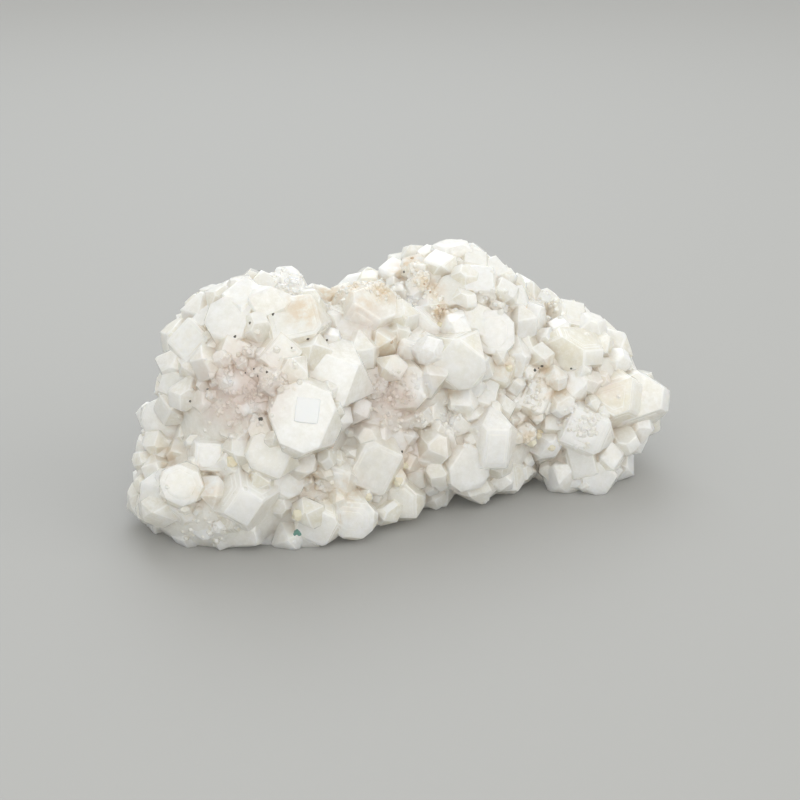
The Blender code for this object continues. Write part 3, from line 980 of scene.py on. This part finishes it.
# %% Specks and grains
GRAIN_COLOURS = {
    "black": (0.045, 0.042, 0.032),
    "green": (0.10, 0.27, 0.22),
    "red": (0.25, 0.08, 0.08),
    "yellow": (0.87, 0.79, 0.58),
    "rust": (0.52, 0.36, 0.24),
    # The plateau's pale bluish colour is a painted reflection.
    "plateau": (0.85, 0.87, 0.89),
}
GRAINS = {
    "black": [
        (-34.8, -4.8, 1.0), (-48, 2.5, 0.6), (-38.5, 6.8, 0.5), (-36.5, 7.8, 0.5),
        (-35.5, 6, 0.5), (-33.3, 7, 0.5), (-37.5, 19.3, 0.45), (-31.8, 21.5, 0.45),
        (-23, 15.3, 0.45), (-41.3, 15.8, 0.5), (-52.5, -0.3, 0.4), (-18.3, 15, 0.45),
        (33.8, 7.5, 0.6), (35.5, 8.5, 0.55), (34.6, 8.0, 0.4), (42.8, 7.8, 0.4),
        (0.5, -13, 0.5), (1, 32, 0.6), (-27, 13, 0.35), (-44, 5, 0.35), (-30, 2.5, 0.35),
    ],
    "green": [(-25.8, -33.0, 1.1), (-25.2, -33.5, 0.9), (-26.3, -33.6, 0.6)],
    "red": [(-7.3, -2.5, 0.6)],
    "yellow": [
        (-41.8, -15.3, 2.6), (-25.8, -28.8, 2.4), (-7.8, -24.3, 1.6), (-0.5, -20.5, 1.8),
        (1.3, -16.5, 1.5), (27.3, 8, 1.8), (33, -10.5, 2.2), (34.5, -9, 1.6), (38, -12, 1.6),
        (10, 18.8, 1.2), (35, -8, 1.4),
    ],
    "rust": [
        (3, 35.5, 0.8), (6, 29, 0.6), (7.5, 27, 0.6), (9.5, 23.5, 0.7), (10.5, 22.8, 0.6),
        (-2, 14.5, 0.6),
    ],
}
GRAIN_LEAN = 0.5
GRAIN_SUNK = 0.1
grain_rng = random.Random(41)
for kind, grains in GRAINS.items():
    for across, up, width in grains:
        place, normal = second_tree.ray_cast(EYE, sight_line(across, up))[:2]
        if place is not None:
            plant_small(
                place, normal, width, GRAIN_LEAN, GRAIN_SUNK, kind, grain_rng, small_masters
            )
print("grains:", {kind: len(grains) for kind, grains in GRAINS.items()})

# %% Grow everything together
for thing in (first_growth, second_growth, layout_core):
    bpy.data.objects.remove(thing)
cluster = grow_together(NAME + "_surface")
deselect_all()
bpy.ops.mesh.primitive_cube_add(size=0.4, location=(0, 0, -0.2))
ground = bpy.context.object
stand = cluster.modifiers.new("flat rest", "BOOLEAN")
stand.operation = "DIFFERENCE"
stand.object = ground
stand.solver = "MANIFOLD"
apply_modifiers(cluster)
for thing in [ground, core, *small_masters, *companion_masters, *growing.objects]:
    bpy.data.objects.remove(thing)
cluster.data.transform(Matrix.Translation(-MIDDLE))
print("all together:", len(cluster.data.polygons), "faces")

# %% [markdown]
# ## A finer mesh
#
# The union leaves huge flat faces next to tiny ones. Colour that follows the hollows and
# the stains is stored on the mesh, so long edges are split until points lie close enough
# together. Small bodies that the union shut inside are dropped first.

# %% Keep the largest body and split long edges
LONGEST_EDGE = 2.2
SPLIT_ROUNDS = 5
FLAT_WITHIN = math.radians(0.5)


def keep_largest(shape):
    """Deletes all but the largest connected body, and tells how many there were."""
    left, islands = set(shape.verts), []
    while left:
        island, edge = set(), [left.pop()]
        while edge:
            vertex = edge.pop()
            island.add(vertex)
            near = {e.other_vert(vertex) for e in vertex.link_edges} & left
            left -= near
            edge.extend(near)
        islands.append(island)
    largest = max(islands, key=len)
    loose = [vertex for vertex in shape.verts if vertex not in largest]
    bmesh.ops.delete(shape, geom=loose, context="VERTS")
    return len(islands)


shape = bmesh.new()
shape.from_mesh(cluster.data)
bodies = keep_largest(shape)
bmesh.ops.dissolve_limit(
    shape, angle_limit=FLAT_WITHIN, verts=shape.verts, edges=shape.edges,
    use_dissolve_boundaries=False,
)
bmesh.ops.triangulate(shape, faces=shape.faces)
print("after dissolving:", len(shape.faces))
for _ in range(SPLIT_ROUNDS):
    long_edges = [edge for edge in shape.edges if edge.calc_length() > LONGEST_EDGE * MM]
    if not long_edges:
        break
    bmesh.ops.subdivide_edges(shape, edges=long_edges, cuts=1)
    bmesh.ops.triangulate(shape, faces=[face for face in shape.faces if len(face.verts) > 3])
shape.to_mesh(cluster.data)
shape.free()
mesh = cluster.data
print("bodies:", bodies, "triangles:", len(mesh.polygons), "points:", len(mesh.vertices))

# %% [markdown]
# ## Measures on the surface
#
# The materials read measures that are written on the mesh: coordinates along each crystal's
# own axis, a tint that differs from crystal to crystal, which kind of crystal face it is,
# how near a sharp edge is, how hidden a point is, and how strongly each stain and each
# painted highlight lies there.

# %% Crystal coordinates and tints
def read(rows, field):
    """All numbers of one field of the mesh, as an array."""
    values = np.empty(len(rows), dtype=np.int32)
    rows.foreach_get(field, values)
    return values


def read_vectors(rows, field):
    """All vectors of one field of the mesh, as an array with three columns."""
    values = np.empty(len(rows) * 3)
    rows.foreach_get(field, values)
    return values.reshape(-1, 3)


numbers = read(mesh.attributes["growth"].data, "value")
worn_facets, numbers = numbers % 2, numbers // 2
numbers[numbers < 0] = len(growths)
is_core = numbers == len(growths)
points = read_vectors(mesh.vertices, "co")
corners = read(mesh.loops, "vertex_index")
normals = read_vectors(mesh.polygons, "normal")

back_to_crystal = [np.array(growth["place"].inverted()) for growth in growths]
back_to_crystal = np.array([*back_to_crystal, np.eye(4)])
corner_numbers = np.repeat(numbers, 3)
here = np.c_[points[corners] + np.array(MIDDLE), np.ones(len(corners))]
local = np.einsum("nij,nj->ni", back_to_crystal[corner_numbers], here)[:, :3] / MM
along = mesh.attributes.new("crystal_space", "FLOAT_VECTOR", "CORNER")
along.data.foreach_set("vector", local.astype(np.float32).ravel())


def store(name, domain, values):
    """Writes one number for each point, face or corner."""
    attribute = mesh.attributes.new(name, "FLOAT", domain)
    attribute.data.foreach_set("value", np.ascontiguousarray(values, dtype=np.float32))


tint_rng = np.random.default_rng(7)
tints = tint_rng.random((len(growths) + 1, 2))
store("tint", "FACE", tints[numbers, 0])
store("clarity", "FACE", tints[numbers, 1])
store("worn", "FACE", worn_facets)
print("triangles of the bare core:", is_core.sum(), "of worn facets:", worn_facets.sum())

# %% Kinds of face
PEARLY_FROM = 0.93
PRISM_BELOW = 0.2
facing = np.einsum("nij,nj->ni", back_to_crystal[numbers][:, :3, :3], normals)
facing /= np.linalg.norm(facing, axis=1)[:, None]
steepness = np.abs(facing[:, 2])
pearly = (steepness > PEARLY_FROM) & ~is_core
prism = (steepness < PRISM_BELOW) & ~is_core
# Pearly ends are later lightened bluish-white by the material, a painted pearly sheen.
store("pearly", "FACE", pearly)
store("prism", "FACE", prism)
sideways = np.where(np.abs(facing[:, 1]) > np.abs(facing[:, 0]), 0, 1)
side_corners = np.repeat(sideways, 3)
striae = np.where(np.repeat(prism, 3), local[np.arange(len(local)), side_corners], local[:, 2])
store("striae", "CORNER", striae)
print("pearly ends:", pearly.sum(), "prism faces:", prism.sum())

# %% Edges, hollows and grains
EDGE_REACH = 0.8
SHARP_FROM = 0.25
HOLLOW_LOOK = 10.0
shape = bmesh.new()
shape.from_mesh(mesh)
sharp = [
    edge for edge in shape.edges
    if len(edge.link_faces) == 2 and edge.calc_face_angle_signed() > SHARP_FROM
]
edge_points = KDTree(len(sharp))
for index, edge in enumerate(sharp):
    edge_points.insert((edge.verts[0].co + edge.verts[1].co) / 2, index)
edge_points.balance()
# Nearness to a sharp edge; the material lightens the colour there as a painted glow.
rim = [
    max(0.0, 1 - edge_points.find(vertex.co)[2] / (EDGE_REACH * MM)) for vertex in shape.verts
]
shape.free()
store("rim", "POINT", rim)

tree = tree_of(mesh)
look = HOLLOW_LOOK * MM
# How hidden a point is; the material darkens hidden points as painted shade with dirt.
hidden = [hidden_share(tree, vertex.co, vertex.normal, look) for vertex in mesh.vertices]
store("hidden", "POINT", hidden)
print("half of the points are less hidden than", round(float(np.median(hidden)), 2))

kinds = [growth["kind"] for growth in growths] + ["core"]
grain_paint = np.zeros((len(kinds), 4))
for index, kind in enumerate(kinds):
    if kind in GRAIN_COLOURS:
        grain_paint[index] = (*GRAIN_COLOURS[kind], 1)
store("grain", "FACE", grain_paint[numbers, 3])
paint = mesh.attributes.new("grain_colour", "FLOAT_COLOR", "FACE")
paint.data.foreach_set("color", grain_paint[numbers].astype(np.float32).ravel())
print("sharp edges:", len(sharp), "faces on grains:", int(grain_paint[numbers, 3].sum()))

# %% [markdown]
# ## Stains and painted highlights
#
# Iron has stained the saddle ochre and the hollows rosy brown, and some parts are greyer
# than others. The white balls are mostly painted highlights and glints, and one painted
# reflection, with a few real white frosty patches among them. Each of them is a soft ball
# around a point that is seen on the front: across, up, radius and strength.

# %% Stains and painted highlights
STAINS_AND_HIGHLIGHTS = {
    "rose": [
        (-40, 3, 12, 1.0), (-46, -1, 7, 0.6), (-33, 5, 7, 0.6), (-1, 0, 10, 0.8),
        (6, 4, 7, 0.4), (-8, -4, 6, 0.6), (-9, 20, 6, 0.5), (52, 4, 5, 0.5), (12, -10, 6, 0.3),
        (3, -14, 6, 0.5),
    ],
    "ochre": [
        (-12, 28.5, 8, 1.0), (-18, 25, 6, 1.0), (-4, 28.5, 6, 0.9), (-9, 24, 4, 0.5),
        (1.8, 34, 5, 1.0), (7, 28.5, 4.5, 1.0), (10.5, 22, 3.5, 0.9), (-24, 22.5, 5, 0.8),
        (27.5, 7.5, 4, 0.8), (39, 3, 5, 0.7), (33, -10, 4, 0.9), (33, -5, 5, 0.5),
        (-2.5, 13.7, 4.5, 0.7), (12, 2, 3.5, 0.7), (-14, -23, 6, 0.5), (-22, -19.5, 5, 0.6),
        (1, -17, 6, 0.5), (-48, -23, 4, 0.6), (-58, -14, 5, 0.5), (36, 8, 4, 0.7),
    ],
    "grey": [
        (-8, -14, 11, 0.8), (-18, -18, 7, 0.5), (22, -20, 5, 0.5), (14, -17, 6, 0.6),
        (-31, -33, 5, 0.8), (10, -24, 6, 0.8),
    ],
    # white: mostly painted highlights, glints and a painted reflection, with a few real white
    # frost patches
    "white": [
        (4, 24.5, 4, 1.0), (6, 3.5, 3.5, 1.0), (-27.5, 29, 6, 0.9), (-43, 4.5, 2.5, 1.0),
        (-37.5, -2.5, 2.2, 1.0), (17.5, 1.5, 3.5, 0.7), (13, 8.5, 2.5, 0.6),
        (-37.5, -24, 3, 0.7), (-62, -20, 4, 0.8), (-23, -2, 3.5, 0.6), (12.5, -5, 5, 0.6),
        (45, -6, 6, 0.5),
    ],
}
STAIN_AND_HIGHLIGHT_EDGE = 1.25
for name, spots in STAINS_AND_HIGHLIGHTS.items():
    amount = np.zeros(len(points))
    for across, up, radius, strength in spots:
        hit = tree.ray_cast(EYE - MIDDLE, sight_line(across, up))[0]
        if hit is None:
            continue
        distance = np.linalg.norm(points - np.array(hit), axis=1) / (radius * MM)
        amount = np.maximum(amount, strength * np.clip(STAIN_AND_HIGHLIGHT_EDGE - distance, 0, 1))
    store(name, "POINT", amount)
    print(name, "reaches", int((amount > 0.2).sum()), "points")

# %% [markdown]
# ## Uneven faces
#
# Even the best natural face is faintly wavy, which breaks up its reflections. One round of
# smoothing softens the edges, a very weak cloud pattern moves the points by a few
# hundredths of a millimetre, and shading is smooth except across real edges. Points that
# end up outside the solid's box are moved back onto it.

# %% Wavy faces
softened = cluster.modifiers.new("softened", "SMOOTH")
softened.factor = 0.45
softened.iterations = 1
wave = bpy.data.textures.new("wavy faces", "CLOUDS")
wave.noise_scale = 2.6 * MM
wavy = cluster.modifiers.new("wavy faces", "DISPLACE")
wavy.texture = wave
wavy.texture_coords = "LOCAL"
wavy.strength = 0.10 * MM
apply_modifiers(cluster)
wavy_points = read_vectors(mesh.vertices, "co")
inside = np.clip(wavy_points, *(np.array(corner) for corner in cad_box))
mesh.vertices.foreach_set("co", inside.ravel())
mesh.update()
farthest = float(np.abs(inside - wavy_points).max()) / MM
print("moved back into the frame's box: at most", round(farthest, 2), "mm")
bpy.ops.object.shade_smooth_by_angle(angle=math.radians(24))

# %% [markdown]
# ## Material
#
# Milky apophyllite is a translucent white. Light enters, wanders some millimetres and comes
# out again, so the shadows are soft and thin edges glow: that is what subsurface scattering
# does. Over it lies a glassy skin with growth lines, dull patches and tiny pits.

# %% Helpers for shaders
def group_with(name, inputs, outputs):
    """An empty shader node group: inputs and outputs are (name, kind, value)."""
    group = bpy.data.node_groups.new(name, "ShaderNodeTree")
    for title, kind, value in inputs:
        socket = group.interface.new_socket(title, in_out="INPUT", socket_type=kind)
        if value is not None:
            socket.default_value = value
    for title, kind in outputs:
        group.interface.new_socket(title, in_out="OUTPUT", socket_type=kind)
    return group, group.nodes.new("NodeGroupInput"), group.nodes.new("NodeGroupOutput")


def add_node(tree, kind, **settings):
    """A node with its settings, and the values of the sockets that are named in inputs."""
    inputs = settings.pop("inputs", {})
    node = tree.nodes.new(kind)
    for key, value in settings.items():
        setattr(node, key, value)
    for key, value in inputs.items():
        node.inputs[key].default_value = value
    return node


def ramp(tree, source, low, high, to_min=0.0, to_max=1.0):
    """Maps a value from low..high to to_min..to_max, clamped."""
    node = add_node(tree, "ShaderNodeMapRange", inputs={
        "From Min": low, "From Max": high, "To Min": to_min, "To Max": to_max,
    })
    tree.links.new(source, node.inputs["Value"])
    return node.outputs["Result"]


def calculate(tree, operation, first, second):
    node = add_node(tree, "ShaderNodeMath", operation=operation)
    for socket, value in zip(node.inputs, (first, second)):
        if isinstance(value, (int, float)):
            socket.default_value = value
        else:
            tree.links.new(value, socket)
    return node.outputs[0]


def mix_colour(tree, share, first, second):
    """Lays a share of the second colour over the first."""
    node = add_node(tree, "ShaderNodeMix", data_type="RGBA")
    sockets = (node.inputs[0], node.inputs[6], node.inputs[7])
    for socket, value in zip(sockets, (share, first, second)):
        if isinstance(value, (int, float)):
            socket.default_value = value
        elif isinstance(value, tuple):
            socket.default_value = (*value, 1)
        else:
            tree.links.new(value, socket)
    return node.outputs[2]


def noise(tree, vector, scale, detail, roughness):
    node = add_node(tree, "ShaderNodeTexNoise", inputs={
        "Scale": scale, "Detail": detail, "Roughness": roughness,
    })
    tree.links.new(vector, node.inputs["Vector"])
    return node.outputs[0]


def attribute(tree, name, output="Fac"):
    return add_node(tree, "ShaderNodeAttribute", attribute_name=name).outputs[output]


# %% Growth lines
def growth_lines_group():
    """Fine lines on crystal faces, as a height: strong on prism faces, faint on the others."""
    group, start, end = group_with(
        "growth lines",
        [
            ("Vector", "NodeSocketVector", None),
            ("Across", "NodeSocketFloat", 0.0),
            ("Prism", "NodeSocketFloat", 0.0),
        ],
        [("Height", "NodeSocketFloat")],
    )
    slow = add_node(group, "ShaderNodeVectorMath", operation="SCALE", inputs={"Scale": 0.12})
    group.links.new(start.outputs["Vector"], slow.inputs[0])
    place = add_node(group, "ShaderNodeCombineXYZ")
    group.links.new(calculate(group, "MULTIPLY", start.outputs["Across"], 2.4), place.inputs["X"])
    shifted = add_node(group, "ShaderNodeVectorMath", operation="ADD")
    group.links.new(slow.outputs[0], shifted.inputs[0])
    group.links.new(place.outputs[0], shifted.inputs[1])
    lines = noise(group, shifted.outputs[0], scale=1.0, detail=4, roughness=0.7)
    strength = ramp(group, start.outputs["Prism"], 0, 1, to_min=0.35)
    group.links.new(calculate(group, "MULTIPLY", lines, strength), end.inputs["Height"])
    return group


growth_lines = growth_lines_group()


# %% Milky apophyllite
BODY_SHADES = [
    (0.0, (0.81, 0.77, 0.64)), (0.35, (0.83, 0.80, 0.70)),
    (0.7, (0.78, 0.76, 0.68)), (1.0, (0.89, 0.87, 0.80)),
]
MILK = (0.96, 0.95, 0.92)
MOTTLE = (0.70, 0.67, 0.59)
FROST = (0.97, 0.97, 0.95)
# The brown of hidden hollows: painted shade and dirt.
PAINTED_SHADE_AND_DIRT = (0.63, 0.55, 0.46)
# Colours laid over the body: near sharp edges a painted glow, on worn facets wear lightened
# further as a painted edge highlight, on flat ends a painted pearly sheen.
PAINTED_GLOW_SHEEN_AND_WEAR = [
    ("rim", 0.18, (0.97, 0.97, 0.94)), ("worn", 0.7, (0.97, 0.97, 0.94)),
    ("pearly", 0.35, (0.93, 0.95, 0.98)),
]
# The white shade lays painted highlights the way the others lay stains.
STAIN_AND_HIGHLIGHT_SHADES = [
    ("rose", (0.70, 0.57, 0.51), 0.1, 0.6), ("grey", (0.66, 0.64, 0.60), 0.2, 0.8),
    ("ochre", (0.71, 0.55, 0.37), 0.36, 0.6), ("white", (0.97, 0.98, 0.99), 0.1, 0.6),
]
MOST_STAIN_AND_HIGHLIGHT = 0.8


def milky_apophyllite():
    """Body colour with painted glow and sheen, then painted shade with dirt, stains and painted
    highlights, then gloss, relief and depth.
    """
    material = bpy.data.materials.new("milky apophyllite")
    material.use_nodes = True
    tree = material.node_tree
    surface = tree.nodes["Principled BSDF"]
    where = add_node(tree, "ShaderNodeTexCoord").outputs["Object"]
    crystal_space = attribute(tree, "crystal_space", "Vector")

    fine = noise(tree, where, scale=420, detail=4, roughness=0.6)
    body = add_node(tree, "ShaderNodeValToRGB")
    for place, shade in BODY_SHADES:
        stop = body.color_ramp.elements[0] if place == 0 else body.color_ramp.elements.new(place)
        stop.position, stop.color = place, (*shade, 1)
    tree.links.new(attribute(tree, "tint"), body.inputs["Fac"])
    colour = body.outputs["Color"]
    veil = noise(tree, crystal_space, scale=0.30, detail=5, roughness=0.7)
    clearness = calculate(tree, "MULTIPLY", attribute(tree, "clarity"), 0.25)
    milk = ramp(tree, calculate(tree, "ADD", veil, clearness), 0.5, 0.8)
    colour = mix_colour(tree, milk, colour, MILK)
    speckle = noise(tree, where, scale=650, detail=5, roughness=0.75)
    mottled = ramp(tree, speckle, 0.38, 0.6, to_min=0.4, to_max=0.0)
    colour = mix_colour(tree, mottled, colour, MOTTLE)
    patches = noise(tree, crystal_space, scale=1.3, detail=5, roughness=0.75)
    frosted = ramp(tree, patches, 0.52, 0.68, to_max=0.5)
    colour = mix_colour(tree, frosted, colour, FROST)
    # Painted glow at the edges, painted highlight over the wear of worn facets, painted pearly
    # sheen on flat ends.
    for name, strength, shade in PAINTED_GLOW_SHEEN_AND_WEAR:
        share = calculate(tree, "MULTIPLY", attribute(tree, name), strength)
        colour = mix_colour(tree, share, colour, shade)

    # Painted shade with dirt: the more hidden a point, the more its colour turns brown, for the
    # shade in the hollows and the dirt in them.
    hidden = ramp(tree, attribute(tree, "hidden"), 0.18, 0.62)
    shade_and_dirt = calculate(tree, "MULTIPLY", hidden, ramp(tree, fine, 0.3, 0.7, to_min=0.55))
    colour = mix_colour(tree, calculate(tree, "MULTIPLY", shade_and_dirt, 0.85), colour, PAINTED_SHADE_AND_DIRT)

    for name, shade, low, high in STAIN_AND_HIGHLIGHT_SHADES:
        patchy = ramp(tree, fine, low, high)
        share = calculate(tree, "MULTIPLY", attribute(tree, name), patchy)
        colour = mix_colour(tree, calculate(tree, "MINIMUM", share, MOST_STAIN_AND_HIGHLIGHT), colour, shade)
    grain_colour = attribute(tree, "grain_colour", "Color")
    colour = mix_colour(tree, attribute(tree, "grain"), colour, grain_colour)
    tree.links.new(colour, surface.inputs["Base Color"])

    dullness = noise(tree, where, scale=160, detail=5, roughness=0.65)
    dull = ramp(tree, dullness, 0.4, 0.65, to_min=0.29, to_max=0.46)
    tree.links.new(dull, surface.inputs["Roughness"])

    lines = add_node(tree, "ShaderNodeGroup", node_tree=growth_lines)
    tree.links.new(crystal_space, lines.inputs["Vector"])
    tree.links.new(attribute(tree, "striae"), lines.inputs["Across"])
    tree.links.new(attribute(tree, "prism"), lines.inputs["Prism"])
    low_bump = add_node(tree, "ShaderNodeBump", inputs={"Strength": 0.6, "Distance": 0.05 * MM})
    tree.links.new(lines.outputs["Height"], low_bump.inputs["Height"])
    pits = add_node(tree, "ShaderNodeBump", inputs={"Strength": 0.6, "Distance": 0.12 * MM})
    pitted = noise(tree, where, scale=900, detail=5, roughness=0.65)
    tree.links.new(pitted, pits.inputs["Height"])
    tree.links.new(low_bump.outputs["Normal"], pits.inputs["Normal"])
    tree.links.new(pits.outputs["Normal"], surface.inputs["Normal"])

    surface.inputs["IOR"].default_value = 1.54
    surface.inputs["Coat Weight"].default_value = 0.7
    surface.inputs["Coat Roughness"].default_value = 0.08
    surface.inputs["Subsurface Weight"].default_value = 0.75
    surface.inputs["Subsurface Radius"].default_value = (1.0, 0.92, 0.80)
    surface.inputs["Subsurface Scale"].default_value = 11 * MM
    surface.inputs["Transmission Weight"].default_value = 0.35
    return material


cluster.data.materials.clear()
cluster.data.materials.append(milky_apophyllite())
print("material:", cluster.data.materials[0].name)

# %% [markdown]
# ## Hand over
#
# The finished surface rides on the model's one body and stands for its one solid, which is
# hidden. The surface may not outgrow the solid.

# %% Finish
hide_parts(NAME)
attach(cluster, "root")
